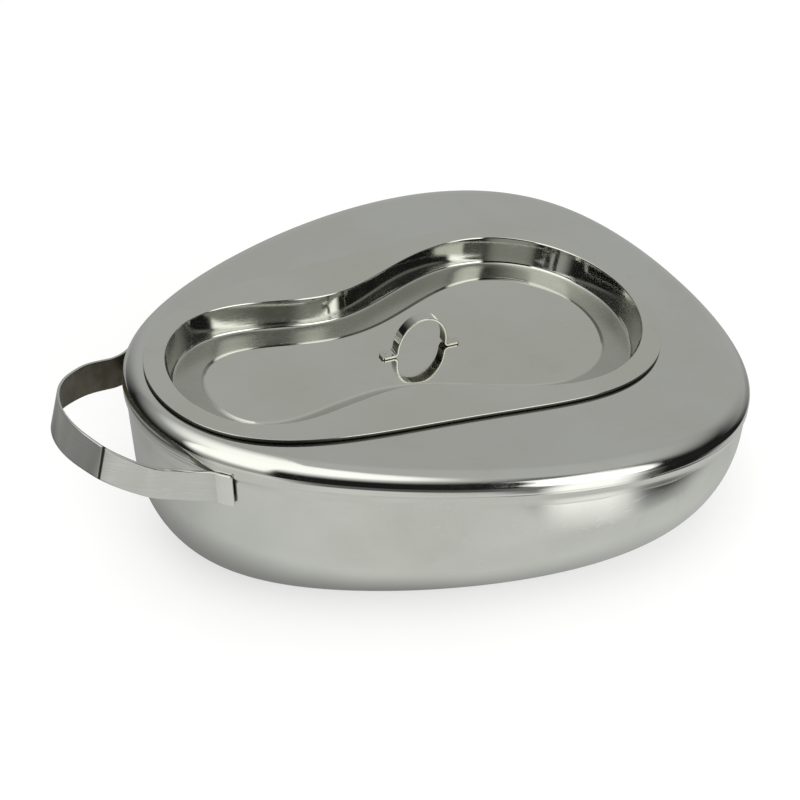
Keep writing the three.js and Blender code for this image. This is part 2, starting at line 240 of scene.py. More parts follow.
def strip(name, mids, ups, outs, width, thick, edge=0.35, corner=2.0, across=14, local=False, dents=(), crease=None):
    """A flat strip along mids: ups points across its width, outs is its thickness direction."""
    m = len(mids)
    along = np.concatenate([[0], np.cumsum(np.linalg.norm(np.diff(mids, axis=0), axis=1))])
    total = along[-1]
    ring = []
    h, hw = thick / 2, width / 2
    arcs = [(math.pi / 2 * i / 4) for i in range(5)]
    # across positions of the two flat faces, then the rounded edges
    def loop(w, h_):
        e = min(edge, h_ * 0.98, w * 0.98)
        pts = []
        for s in np.linspace(-1, 1, across):
            pts.append((s * (w - e), h_, 1))
        for a in arcs[1:-1] + [math.pi / 2]:
            pts.append((w - e + e * math.sin(a), h_ - e + e * math.cos(a), 0))
        for a in [math.pi / 2] + [math.pi / 2 + x for x in arcs[1:-1]]:
            pts.append((w - e + e * math.sin(a), -(h_ - e) + e * math.cos(a), 0))
        for s in np.linspace(1, -1, across):
            pts.append((s * (w - e), -h_, -1))
        for a in [x for x in arcs[1:-1]] + [math.pi / 2]:
            pts.append((-(w - e) - e * math.sin(a), -(h_ - e) - e * math.cos(a), 0))
        for a in [math.pi / 2] + [math.pi / 2 + x for x in arcs[1:-1]]:
            pts.append((-(w - e) - e * math.sin(a), (h_ - e) - e * math.cos(a), 0))
        return pts
    co, inner_face, line = [], [], []
    for j in range(m):
        d = min(along[j], total - along[j])
        w, hh = hw, h
        if d < corner:
            w = hw - (corner - math.sqrt(max(0.0, corner ** 2 - (corner - d) ** 2)))
        if d < edge:
            hh = h - (edge - math.sqrt(max(0.0, edge ** 2 - (edge - d) ** 2)))
            w -= (edge - math.sqrt(max(0.0, edge ** 2 - (edge - d) ** 2)))
        for (u, v, face) in loop(w, max(hh, 0.05)):
            p = mids[j] + ups[j] * u + outs[j] * v
            inner_face.append(1.0 if face == -1 else 0.0)
            dark = 0.0
            if face == 1:
                for (ds, du, r, deep) in dents:
                    q = math.hypot(along[j] - ds, u - du) / r
                    if q < 1.6:
                        p = p - outs[j] * deep * (math.exp(-(q * 1.5) ** 2) - 0.35 * math.exp(-((q - 1.15) * 5) ** 2))
            for (cs, cw, cd, ridge, reach) in crease or ():
                gap = along[j] - cs - 0.03 * u
                p = p + outs[j] * ridge * max(0.0, 1 - abs(gap) / reach)
                q = abs(gap) / (cw * (1 + 0.35 * u / width))
                if q < 1 and face == 1:
                    p = p - outs[j] * cd * (1 - q * q) ** 2
                # painted shade along the crease, kept as a per-point mask for the strap material
                dark = max(dark, math.exp(-(q * 1.15) ** 4)) if face >= 0 else dark
            line.append(dark)
            co.append(p)
    k = len(loop(hw, h))
    co = np.array(co)
    faces = []
    for j in range(m - 1):
        a, b = j * k, (j + 1) * k
        for i in range(k):
            n2 = (i + 1) % k
            faces.append((a + i, a + n2, b + n2, b + i))
    faces.append(tuple(range(k))[::-1])
    faces.append(tuple((m - 1) * k + i for i in range(k)))
    if volume_sign(co - co.mean(0), faces) < 0:
        faces = [f[::-1] for f in faces]
    if local:
        co = lid_to_pan(co)
    ob = make_mesh(name, to_row(co), faces)
    tag(ob, "inner_face", inner_face)
    tag(ob, "crease_shade_line", line)
    return ob


N_BIG = 384

# ------------------------------------------------------------------ lower pan
t = even(OUTLINE, N_BIG)


def pan_rows(extra, up, base_rings, arc_steps):
    rows = []
    ix, iy = offset(OUTLINE, t, -(PAN_INSET + BOWL_IN))
    for f in np.linspace(0.05, 0.95, base_rings):
        rows.append(rows3(ix * f, iy * f, up))
    for a in np.linspace(90, 0, arc_steps):
        r = math.radians(a)
        inset = PAN_INSET + extra + (BOWL_IN - extra) * (1 - math.cos(r))
        x, y = offset(OUTLINE, t, -inset)
        rows.append(rows3(x, y, up + (BOWL_UP - up) * (1 - math.sin(r))))
    return rows


def at_rim(inset, drop):
    x, y = offset(OUTLINE, t, -inset)
    return rows3(x, y, rim_z(t) - drop)


outer = pan_rows(0.0, 0.0, 14, 30)
inner = pan_rows(SHEET, SHEET, 12, 22)
top = split([outer[-1], at_rim(PAN_INSET, 2.25)], 5.0)[1:]
top += [at_rim(PAN_INSET + 0.08, 2.08), at_rim(PAN_INSET + 0.25, 2.0), at_rim(PAN_INSET + SHEET - 0.25, 2.0), at_rim(PAN_INSET + SHEET - 0.08, 2.08)]
top += split([at_rim(PAN_INSET + SHEET, 2.25), inner[-1]], 6.0)[:-1]
lower_pan = skin("pan_pressing", outer + top + inner[::-1], wrap=False, start=[0, 0, 0], end=[0, 0, SHEET], wave=(0.05, 42.0, 1))

# ------------------------------------------------------------------ seat shell
SEAT_TOP = FLANGE_T + GAP


def corner_rows(extra, steps):
    rows = []
    for a in np.linspace(0, 90, steps):
        r = math.radians(a)
        inset = extra + (CORNER_IN - extra) * (1 - math.cos(r))
        x, y = offset(OUTLINE, t, -inset)
        z0 = rim_z(t)
        rows.append(rows3(x, y, z0 + (plane_z(x, SEAT_TOP + extra) - z0) * math.sin(r)))
    return rows


def seat_row(f, below):
    a = offset(OUTLINE, t, -CORNER_IN)
    b = offset(PEAR, t, LIP_CLEAR + 3.0)
    x, y = a[0] + (b[0] - a[0]) * f, a[1] + (b[1] - a[1]) * f
    return rows3(x, y, plane_z(x, below))


def lip_row(out, below):
    x, y = offset(PEAR, t, out)
    return rows3(x - below * SN, y, plane_z(x) - below * CS)


R, T = 3.0, SEAT_TOP
up_side = [at_rim(0.15, SKIRT), at_rim(0.04, SKIRT - 0.06), at_rim(0.0, SKIRT - 0.2), at_rim(0.0, SKIRT * 0.5)]
up_side += corner_rows(0.0, 26)
up_side += [seat_row(f, T) for f in np.linspace(0.04, 0.96, 22)]
up_side += [lip_row(LIP_CLEAR + R * (1 - math.sin(a)), T + R * (1 - math.cos(a))) for a in np.linspace(0, math.pi / 2, 9)]
up_side += [lip_row(LIP_CLEAR, T + LIP_DEEP - 0.2), lip_row(LIP_CLEAR + 0.06, T + LIP_DEEP - 0.06), lip_row(LIP_CLEAR + 0.2, T + LIP_DEEP)]
dn_side = [lip_row(LIP_CLEAR + SHEET - 0.2, T + LIP_DEEP), lip_row(LIP_CLEAR + SHEET - 0.06, T + LIP_DEEP - 0.06), lip_row(LIP_CLEAR + SHEET, T + LIP_DEEP - 0.2)]
dn_side += [lip_row(LIP_CLEAR + SHEET + (R - SHEET) * (1 - math.sin(a)), T + SHEET + (R - SHEET) * (1 - math.cos(a))) for a in np.linspace(math.pi / 2, 0, 6)]
dn_side += [seat_row(f, T + SHEET) for f in np.linspace(0.96, 0.04, 8)]
dn_side += corner_rows(SHEET, 12)[::-1]
dn_side += [at_rim(SHEET, SKIRT * 0.5), at_rim(SHEET, SKIRT - 0.2), at_rim(SHEET - 0.04, SKIRT - 0.06), at_rim(SHEET - 0.15, SKIRT)]
seat_shell = skin("seat_pressing", up_side + dn_side, wave=(0.045, 46.0, 2))

# ------------------------------------------------------------------ seam weld
t_keep = t
t = even(OUTLINE, 1600)
rng = np.random.default_rng(7)
ripple = np.sin(np.arange(1600) * TAU / 1600 * 400) * np.interp(np.arange(1600), np.arange(0, 1601, 20), np.append((q := rng.uniform(0.2, 1.0, 80)), q[0]))
drift = np.interp(np.arange(1600), np.arange(0, 1601, 16), np.append((q := rng.uniform(-1, 1, 100)), q[0]))


def weld_row(inset, drop, swell):
    x, y = offset(OUTLINE, t, -(inset - swell * (0.012 * ripple + 0.02 * drift)))
    return rows3(x, y, rim_z(t) - SKIRT - drop - swell * 0.04 * drift)


# ground flush with the skirt above and feathered into the side below
seam = skin("seam_weld_bead", [weld_row(SHEET, -0.9, 0), weld_row(0.4, -0.95, 0), weld_row(0.05, -0.95, 0), weld_row(0.012, -0.85, 0), weld_row(-0.002, -0.7, 0), weld_row(-0.004, -0.3, 0),
                              weld_row(0.0, -0.05, 0.3), weld_row(0.035, 0.25, 1), weld_row(0.1, 0.65, 1), weld_row(0.2, 1.1, 1), weld_row(0.34, 1.6, 1), weld_row(0.5, 2.15, 1), weld_row(0.68, 2.8, 0.8),
                              weld_row(0.84, 3.5, 0.5), weld_row(0.95, 4.2, 0.2), weld_row(1.02, 5.0, 0), weld_row(1.065, 6.0, 0), weld_row(1.1, 7.3, 0), weld_row(1.13, 8.8, 0), weld_row(1.2, 9.6, 0),
                              weld_row(1.45, 9.0, 0), weld_row(1.3, 1.5, 0)], wave=(0.045, 46.0, 2))
t = t_keep

# ------------------------------------------------------------------ strap handle
on_wall = -PAN_INSET + GAP + STRAP_T / 2


def wall_point(x):
    a = np.array([angle_at_x(OUTLINE, x)])
    p = offset(OUTLINE, a, on_wall)
    return [p[0][0], p[1][0]]


half = [
    [*wall_point(-142.5), 13.8, -0.095], [*wall_point(-146.5), 14.3, -0.095], [*wall_point(-150.5), 14.9, -0.095],
    [-158.6, 52.7, 16.2, -0.09], [-165.6, 49.5, 15.6, -0.075], [-171.2, 48.0, 14.6, -0.06], [-176.5, 46.2, 13.3, -0.03],
    [-182.8, 42.5, 11.2, 0.02], [-190.2, 36.1, 8.7, 0.1], [-197.2, 27.9, 5.8, 0.16], [-202.5, 18.9, 3.9, 0.2], [-205.5, 9.8, 3.0, 0.225],
]
full = half + [[-206.6, 0.0, 2.8, 0.23]] + [[x, -y, b, k] for x, y, b, k in half[::-1]]
tops, lows = [], []
for x, y, below, lean in full:
    p = np.array([x - below * SN, y, plane_z(x) - below * CS])
    d = np.array([SN + lean * CS, 0, CS - lean * SN])
    d /= np.linalg.norm(d)
    tops.append(p)
    lows.append(p - d * STRAP_W)


def catmull(points, n):
    """Centripetal Catmull-Rom through the points, as in the CAD model, at n + 1 even parameters."""
    P = [np.array(p, float) for p in points]
    out = []
    L = len(P)
    for j in range(n + 1):
        s = (L - 1) * j / n
        i = min(int(s), L - 2)
        w = s - i
        p1, p2 = P[i], P[i + 1]
        p0 = P[i - 1] if i > 0 else p1 + (p1 - p2)
        p3 = P[i + 2] if i + 2 < L else p2 + (p2 - p1)
        d0 = max(np.dot(p1 - p0, p1 - p0) ** 0.25, 1e-4)
        d1 = max(np.dot(p2 - p1, p2 - p1) ** 0.25, 1e-4)
        d2 = max(np.dot(p3 - p2, p3 - p2) ** 0.25, 1e-4)
        t1 = (p1 - p0) / d0 - (p2 - p0) / (d0 + d1) + (p2 - p1) / d1
        t2 = (p2 - p1) / d1 - (p3 - p1) / (d1 + d2) + (p3 - p2) / d2
        t1, t2 = t1 * d1, t2 * d1
        c0, c1 = p1, t1
        c2 = -3 * p1 + 3 * p2 - 2 * t1 - t2
        c3 = 2 * p1 - 2 * p2 + t1 + t2
        out.append(c0 + c1 * w + c2 * w * w + c3 * w ** 3)
    return np.array(out)


a_line, b_line = catmull(tops, 960), catmull(lows, 960)
mid_line = (a_line + b_line) / 2
arc = np.concatenate([[0], np.cumsum(np.linalg.norm(np.diff(mid_line, axis=0), axis=1))])
total = arc[-1]
fine_end = [0, 0.05, 0.12, 0.22, 0.35, 0.55, 0.8, 1.1, 1.5, 1.8, 2.0]
stations = np.unique(np.concatenate([fine_end, np.arange(2.4, total - 2.4, 0.7), total - np.array(fine_end)]))
pick = lambda line: np.stack([np.interp(stations, arc, line[:, k]) for k in range(3)], -1)
a_s, b_s = pick(a_line), pick(b_line)
mids = (a_s + b_s) / 2
ups = a_s - b_s
ups /= np.linalg.norm(ups, axis=1)[:, None]
along = np.gradient(a_s, stations, axis=0)
outs = np.cross(along, ups)
outs /= np.linalg.norm(outs, axis=1)[:, None]
if np.dot(outs[len(outs) // 2], [-1, 0, 0]) < 0:
    outs = -outs
bend_at = float(stations[np.argmin(np.hypot(mids[:, 0] + 195.5, mids[:, 1] + 20.0))] - stations[0]) + 8.0
fine = np.unique(np.concatenate([stations, bend_at + np.arange(-1.8, 1.81, 0.15)]))
pick = lambda line: np.stack([np.interp(fine, stations, line[:, k]) for k in range(3)], -1)
mids, ups, outs = pick(mids), pick(ups), pick(outs)
strap = strip("strap_handle", mids, ups, outs, STRAP_W, STRAP_T, edge=0.4, corner=1.2, across=22, crease=[(bend_at, 1.0, 0.3, 0.45, 11.0)])

# ------------------------------------------------------------------ lid
tl = even(PEAR, N_BIG)


def on(o, out, z):
    x, y = offset(o, tl, out)
    return rows3(x, y, z)


def inward(f, z):
    x, y = offset(PEAR, tl, -STEP_IN - 2.4)
    return rows3(LOOP_X + (x - LOOP_X) * f, y * f, z)


F, h = -RECESS, FLANGE_T
WALL_LEAN = 2.4   # the dish wall leans in a little more than its draft
ctrl = [
    (inward(0.03, F), 0), (on(PEAR, -STEP_IN - 2.4, F), 2.0), (on(PEAR, -STEP_IN, F - STEP_UP), 2.0),
    (on(PEAR, -DRAFT - WALL_LEAN, F - STEP_UP), 2.1), (on(PEAR, 0.0, 0), 0.95),
    (on(FLANGE, 0, 0), 0.4), (on(FLANGE, 0, -h), 0.4), (on(FLANGE, -HEM, -h), 0.3), (on(FLANGE, -HEM, -SHEET), 0.15),
    (on(PEAR, SHEET * 0.9, -SHEET), 0.9), (on(PEAR, -DRAFT - WALL_LEAN + SHEET, F - STEP_UP - SHEET), 2.6),
    (on(PEAR, -STEP_IN, F - STEP_UP - SHEET), 2.0), (on(PEAR, -STEP_IN - 2.4, F - SHEET), 2.0), (inward(0.03, F - SHEET), 0),
]
lid_rows = fillet([c for c, _ in ctrl], [r for _, r in ctrl], seg=7)
lid_rows = split(lid_rows, 4.5)
lid = skin("lid_pressing", lid_rows, wrap=False, start=[LOOP_X, 0, F], end=[LOOP_X, 0, F - SHEET], wave=(0.035, 38.0, 3), local=True)
# the turned-in outer edge, painted near-black as its own shadow
rim_x, rim_y = offset(FLANGE, tl, 0.0)
edge_mark = [np.interp(r[:, 2], [-0.45, -0.2], [1.0, 0.0]) * (np.hypot(r[:, 0] - rim_x, r[:, 1] - rim_y) < 1.2) for r in lid_rows]
tag(lid, "shadow_edge", np.concatenate(edge_mark + [[0.0, 0.0]]))

# ------------------------------------------------------------------ finger loop
Fl = -RECESS + GAP
a, b, T2 = LOOP_HALF, LOOP_TALL - GAP, LOOP_T
z0 = T2 + 1.7
path = [np.array([a + LOOP_FOOT, T2 / 2])]
path += [np.array([a + 1.9, T2 / 2])]
for i in range(1, 9):
    s = i / 9
    p0, p1, p2 = np.array([a + 1.9, T2 / 2]), np.array([a - T2 / 2, T2 / 2]), np.array([a - T2 / 2, z0 + 0.6])
    path.append(p0 * (1 - s) ** 2 + 2 * p1 * s * (1 - s) + p2 * s * s)
for i in range(0, 73):
    r = math.pi * i / 72
    z = z0 + 0.6 + (b - z0 - 0.6 - T2 / 2) * math.sin(r)
    path.append(np.array([(a - T2 / 2) * math.cos(r), z]))
path += [np.array([-p[0], p[1]]) for p in path[:10]][::-1]
path = np.array(path)
s_in = np.concatenate([[0], np.cumsum(np.linalg.norm(np.diff(path, axis=0), axis=1))])
tot = s_in[-1]
fine_end = [0, 0.04, 0.1, 0.2, 0.35, 0.6, 0.9, 1.2, 1.5]
st = np.unique(np.concatenate([fine_end, np.arange(1.75, tot - 1.75, 0.3), tot - np.array(fine_end)]))
px, pz = np.interp(st, s_in, path[:, 0]), np.interp(st, s_in, path[:, 1])
mids = np.stack([px + LOOP_X, np.zeros_like(px), pz + Fl], -1)
tang = np.stack([np.gradient(px, st), np.gradient(pz, st)], -1)
for _ in range(3):
    tang[1:-1] = (tang[:-2] + 2 * tang[1:-1] + tang[2:]) / 4
tang /= np.linalg.norm(tang, axis=1)[:, None]
ups = np.tile([0.0, 1.0, 0.0], (len(st), 1))
outs = np.stack([tang[:, 1], np.zeros_like(px), -tang[:, 0]], -1)
if outs[len(st) // 2][2] < 0:
    outs = -outs
dents = []
for ds in (3.0, tot - 3.0):
    for du in (-1.55, 1.55):
        dents.append((ds, du, 1.15, 0.28))
loop = strip("finger_loop", mids, ups, outs, LOOP_W, LOOP_T, edge=0.3, corner=1.4, across=18, local=True, dents=dents)


# ------------------------------------------------------------------ spot welds
def button(name, centre, normal, profile, local=False, n=40):
    normal = np.array(normal, float) / np.linalg.norm(normal)
    ref = np.array([0, 0, 1.0]) if abs(normal[2]) < 0.9 else np.array([1.0, 0, 0])
    u = np.cross(ref, normal)
    u /= np.linalg.norm(u)
    v = np.cross(normal, u)
    ang = np.arange(n) / n * TAU
    rows = []
    for r, hgt in profile[1:-1]:
        rows.append(np.array(centre) + np.outer(np.cos(ang) * r, u) + np.outer(np.sin(ang) * r, v) + normal * hgt)
    return skin(name, rows, wrap=False, start=np.array(centre) + normal * profile[0][1], end=np.array(centre) + normal * profile[-1][1], local=local)


weld_profile = [(0, -0.9), (2.2, -0.9), (2.25, -0.3), (2.25, 0.02), (2.12, 0.16), (1.9, 0.2), (1.65, 0.13), (1.4, 0.02), (1.05, -0.04), (0.6, -0.02), (0.2, 0.0), (0, 0.0)]
weld_pieces = []
strap_welds = []
tw = angle_at_x(OUTLINE, -146.6)
wx, wy = (float(v[0]) for v in offset(OUTLINE, np.array([tw]), 0.0))
ox, oy = (float(v[0]) for v in offset(OUTLINE, np.array([tw]), 1.0))
for side, word in ((1, "left"), (-1, "right")):
    nrm = [ox - wx, (oy - wy) * side, 0]
    for drop, which in ((5.2, "top"), (14.6, "bottom")):
        out = -PAN_INSET + GAP + STRAP_T
        c = [wx + nrm[0] * out, wy * side + nrm[1] * out, plane_z(wx) - 14.3 - drop]
        strap_welds.append(c)
        b_ = button(f"strap_weld_{word}_{which}", c, nrm, weld_profile)
        weld_pieces.append((b_, f"handle_spot_weld_{word}_{which}", "pan"))
loop_profile = [(0, -0.6), (0.98, -0.6), (1.0, -0.25), (0.98, -0.12), (0.86, -0.04), (0.7, -0.08), (0.5, -0.16), (0.25, -0.19), (0, -0.2)]
loop_welds = []
for sx, wx_name in ((1, "wide"), (-1, "narrow")):
    for sy, wy_name in ((1, "left"), (-1, "right")):
        c = [LOOP_X + sx * (a + LOOP_FOOT - 3.0), sy * 1.55, Fl + T2]
        loop_welds.append(list(lid_to_pan(np.array(c))))
        b_ = button(f"loop_weld_{wx_name}_{wy_name}", c, [0, 0, 1], loop_profile, local=True, n=28)
        weld_pieces.append((b_, f"loop_spot_weld_{wx_name}_{wy_name}", "lid"))


# ------------------------------------------------------------------ materials
class Nodes:
    def __init__(self, name):
        self.mat = bpy.data.materials.new(name)
        self.mat.use_nodes = True
        self.nt = self.mat.node_tree
        self.nt.nodes.clear()
        self.out = self.nt.nodes.new("ShaderNodeOutputMaterial")
        self.bsdf = self.nt.nodes.new("ShaderNodeBsdfPrincipled")
        self.nt.links.new(self.bsdf.outputs[0], self.out.inputs[0])
        self.coord = self.nt.nodes.new("ShaderNodeTexCoord").outputs["Object"]

    def node(self, kind, inputs=None, **props):
        n = self.nt.nodes.new(kind)
        for k, v in props.items():
            setattr(n, k, v)
        for k, v in (inputs or {}).items():
            if isinstance(v, bpy.types.NodeSocket):
                self.nt.links.new(v, n.inputs[k])
            else:
                n.inputs[k].default_value = v
        return n

    def math(self, op, a, b=None, clamp=False):
        n = self.node("ShaderNodeMath", {0: a}, operation=op, use_clamp=clamp)
        if b is not None:
            if isinstance(b, bpy.types.NodeSocket):
                self.nt.links.new(b, n.inputs[1])
            else:
                n.inputs[1].default_value = b
        return n.outputs[0]

    def mapped(self, scale, rot=(0, 0, 0), loc=(0, 0, 0)):
        return self.node("ShaderNodeMapping", {"Vector": self.coord, "Scale": scale, "Rotation": rot, "Location": loc}).outputs[0]

    def noise(self, scale, detail=2.0, rough=0.5, vector=None, distortion=0.0):
        n = self.node("ShaderNodeTexNoise", {"Vector": vector or self.coord, "Scale": scale, "Detail": detail, "Roughness": rough, "Distortion": distortion})
        return n.outputs["Fac"]

    def attr(self, name):
        return self.node("ShaderNodeAttribute", attribute_name=name).outputs["Fac"]

    def remap(self, v, lo, hi, a=0.0, b=1.0, smooth=True):
        n = self.node("ShaderNodeMapRange", {"Value": v, "From Min": lo, "From Max": hi, "To Min": a, "To Max": b}, interpolation_type="SMOOTHSTEP" if smooth else "LINEAR")
        return n.outputs[0]

    def mix(self, fac, a, b):
        n = self.node("ShaderNodeMix", data_type="RGBA", blend_type="MIX")
        for key, v in (("Factor_Float", fac), ("A_Color", a), ("B_Color", b)):
            sock = next(s for s in n.inputs if s.identifier == key)
            if isinstance(v, bpy.types.NodeSocket):
                self.nt.links.new(v, sock)
            else:
                sock.default_value = v if key == "Factor_Float" else (*v, 1.0)
        return next(s for s in n.outputs if s.identifier == "Result_Color")

    def scratches(self, count, seed):
        """Sparse fine lines in several directions: 0 on clean metal, 1 on a line."""
        total_ = None
        for i in range(count):
            ang = 0.7 + seed * 1.3 + i * 2.399
            v = self.mapped((9.0 + 3 * i, 1500.0 + 260 * i, 420.0), rot=(0.3 * i + seed, 0.17 * seed + 0.5 * i, ang), loc=(seed, i, 0.3 * seed))
            s = self.remap(self.noise(1.0, 1.0, 0.4, v), 0.665, 0.74)
            total_ = s if total_ is None else self.math("MAXIMUM", total_, s)
        gate = self.remap(self.noise(16.0, 3.0, 0.6, self.mapped((1, 1, 1), loc=(seed * 3.1, 1.7, 0.2))), 0.42, 0.62)
        return self.math("MULTIPLY", total_, gate)

    def spots(self, centres, r0, r1):
        """1 inside r0 of any centre, fading to 0 at r1 (metres)."""
        out = None
        for c in centres:
            d = self.node("ShaderNodeVectorMath", {0: self.coord, 1: tuple(c)}, operation="DISTANCE").outputs["Value"]
            s = self.remap(d, r0, r1, 1.0, 0.0)
            out = s if out is None else self.math("MAXIMUM", out, s)
        return out


def metal(name, base=(0.625, 0.635, 0.605), warm=(0.585, 0.59, 0.55), rough=(0.06, 0.15), grain=None, seed=1.0, waves=0.22, scratch=0.5, tint=None, extra=None):
    m = Nodes(name)
    cloud = m.noise(11.0, 4.0, 0.55, m.mapped((1, 1, 1), loc=(seed, seed * 2, 0)))
    smudge = m.noise(38.0, 5.0, 0.62, m.mapped((1, 1.6, 1), loc=(seed * 4, 0, seed)), 0.6)
    col = m.mix(m.remap(cloud, 0.35, 0.68, 0.0, 0.75), base, warm)
    col = m.mix(m.remap(smudge, 0.55, 0.74, 0.0, 0.2), col, (0.52, 0.52, 0.475))
    lines = m.scratches(3, seed)
    col = m.mix(m.math("MULTIPLY", lines, 0.22), col, (0.72, 0.725, 0.70))
    r = m.remap(smudge, 0.38, 0.72, rough[0], rough[1])
    fine = m.noise(900.0, 2.0, 0.5)
    r = m.math("ADD", r, m.remap(fine, 0.3, 0.7, -0.012, 0.02))
    r = m.math("ADD", r, m.math("MULTIPLY", lines, 0.16 * scratch))
    heights = m.math("MULTIPLY", m.noise(20.0, 2.0, 0.4, m.mapped((1, 1, 1), loc=(0.3 * seed, seed, 0))), 1.0)
    n = m.node("ShaderNodeBump", {"Strength": 1.0, "Distance": 0.00016 * waves, "Height": heights})
    if grain:
        v = m.mapped(grain[0], rot=grain[1])
        g = m.noise(1.0, 3.0, 0.6, v)
        r = m.math("ADD", r, m.remap(g, 0.35, 0.7, -0.03, 0.07))
        col = m.mix(m.remap(g, 0.4, 0.75, 0.0, 0.3), col, (0.50, 0.49, 0.455))
        n = m.node("ShaderNodeBump", {"Strength": 0.25, "Distance": 0.000006, "Height": g, "Normal": n.outputs[0]})
    n = m.node("ShaderNodeBump", {"Strength": 0.3 * scratch, "Distance": 0.000012, "Height": m.math("SUBTRACT", 1.0, lines), "Normal": n.outputs[0]})
    if tint:
        near = m.spots(tint[0], tint[1], tint[2])
        mottled = m.math("MULTIPLY", near, m.remap(smudge, 0.3, 0.7, 0.45, 1.0))
        col = m.mix(m.math("MULTIPLY", mottled, tint[3]), col, (0.47, 0.37, 0.24))
        r = m.math("ADD", r, m.math("MULTIPLY", near, 0.06))
    for mask, colour, rougher in (extra(m) if extra else ()):
        if colour:
            col = m.mix(mask, col, colour)
        r = m.math("ADD", r, m.math("MULTIPLY", mask, rougher))
    m.nt.links.new(col, m.bsdf.inputs["Base Color"])
    m.nt.links.new(m.math("MAXIMUM", r, 0.03), m.bsdf.inputs["Roughness"])
    m.nt.links.new(n.outputs[0], m.bsdf.inputs["Normal"])
    m.bsdf.inputs["Metallic"].default_value = 1.0
    return m.mat


def row_points(points):
    return [tuple(float(x) for x in to_row(np.array(p))) for p in points]


sw, lw = row_points(strap_welds), row_points(loop_welds)


def along_x(m):
    return m.node("ShaderNodeSeparateXYZ", {0: m.coord}).outputs[0]


def lid_extra(m):
    """Ring between the wall and the raised floor, and the underside below it, painted darker as shade and made rougher;
    the outer edge painted dark as shadow.
    """
    xyz = m.node("ShaderNodeSeparateXYZ", {0: m.coord})
    x = m.math("MULTIPLY", m.math("SUBTRACT", xyz.outputs[0], SHIFT * 0.001), SN)
    z = m.math("MULTIPLY", m.math("SUBTRACT", xyz.outputs[2], SEAT_H * 0.001), CS)
    height = m.math("ADD", x, z)
    ring = m.remap(height, (F - STEP_UP + 0.1) * 0.001, (F - 0.15) * 0.001, 1.0, 0.0)
    uneven = m.remap(m.noise(26.0, 3.0, 0.5), 0.3, 0.7, 0.75, 1.0)
    # painted shade on the ring and the underside below it; painted shadow on the outer edge
    return [(m.math("MULTIPLY", ring, uneven), (0.42, 0.425, 0.385), 0.2), (m.attr("shadow_edge"), (0.035, 0.034, 0.03), 0.4)]


def loop_extra(m):
    """Inner face of the finger loop, painted darker as shade under the arch, and a little rougher."""
    shade_mottle = m.remap(m.noise(90.0, 4.0, 0.6), 0.3, 0.7, 0.7, 1.0)
    # painted shade: the loop's inner face darkened, mottled by noise
    return [(m.math("MULTIPLY", m.attr("inner_face"), shade_mottle), (0.26, 0.235, 0.185), 0.08)]


def strap_extra(m):
    """Inner face painted darker as shade between the strap and the pan, and rougher; the crease's dark line painted as
    shade; lighter, rougher ends where the welds are.
    """
    x = along_x(m)
    end = m.remap(x, -0.1292, -0.1284, 0.0, 1.0)
    shade_mottle = m.remap(m.noise(60.0, 4.0, 0.6), 0.3, 0.7, 0.7, 1.0)
    # painted shade on the inner face and along the crease line
    return [(end, (0.70, 0.705, 0.665), 0.07), (m.math("MULTIPLY", m.attr("inner_face"), shade_mottle), (0.20, 0.175, 0.125), 0.25), (m.attr("crease_shade_line"), (0.05, 0.042, 0.03), 0.35)]


M_PAN = metal("steel_pan", base=(0.60, 0.61, 0.578), warm=(0.565, 0.572, 0.53), rough=(0.07, 0.16), seed=1.0, tint=(sw, 0.003, 0.010, 0.12))
M_SEAT = metal("steel_seat", rough=(0.055, 0.13), seed=2.0)
M_LID = metal("steel_lid", base=(0.625, 0.635, 0.592), warm=(0.585, 0.59, 0.53), rough=(0.045, 0.10), seed=3.0, tint=(lw, 0.0012, 0.005, 0.16), extra=lid_extra)
M_STRAP = metal("steel_strap", base=(0.58, 0.585, 0.555), warm=(0.55, 0.55, 0.51), rough=(0.09, 0.17), grain=((40.0, 40.0, 1500.0), (0, 0.09, 0)), seed=4.0, tint=(sw, 0.002, 0.006, 0.14), extra=strap_extra)
M_LOOP = metal("steel_loop", base=(0.61, 0.615, 0.575), warm=(0.57, 0.57, 0.51), rough=(0.06, 0.12), seed=5.0, waves=0.1, scratch=0.2, tint=(lw, 0.0008, 0.003, 0.3), extra=loop_extra)
M_SEAM = metal("weld_seam", base=(0.60, 0.61, 0.578), warm=(0.565, 0.572, 0.53), rough=(0.09, 0.19), seed=6.0, waves=0.3)
M_SPOT = metal("weld_spot", base=(0.56, 0.555, 0.515), warm=(0.5, 0.48, 0.42), rough=(0.14, 0.26), seed=7.0, waves=0.4)


def finish_piece(obj, mat, node, body):
    obj.data.materials.clear()
    obj.data.materials.append(mat)
    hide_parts(node)
    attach(obj, body)


finish_piece(lower_pan, M_PAN, "lower_pan", "pan")
finish_piece(seat_shell, M_SEAT, "seat_shell", "pan")
finish_piece(seam, M_SEAM, "rim_seam_weld", "pan")
finish_piece(strap, M_STRAP, "handle_strap", "pan")
finish_piece(lid, M_LID, "lid_panel", "lid")
finish_piece(loop, M_LOOP, "lid_loop", "lid")
for piece, node, body in weld_pieces:
    finish_piece(piece, M_SPOT, node, body)

# ------------------------------------------------------------------ studio
bpy.ops.mesh.primitive_plane_add(size=60.0, location=(0, 0, -0.0004))
floor = bpy.context.object
floor.name = "studio_floor"
AZ, EL = math.radians(-26.489948), math.radians(39.837065)
BACK = np.array([math.sin(AZ) * math.cos(EL), -math.cos(AZ) * math.cos(EL), math.sin(EL)])
FRONT = (math.sin(AZ), -math.cos(AZ), 0.0)
SIDE = (math.cos(AZ), math.sin(AZ), 0.0)

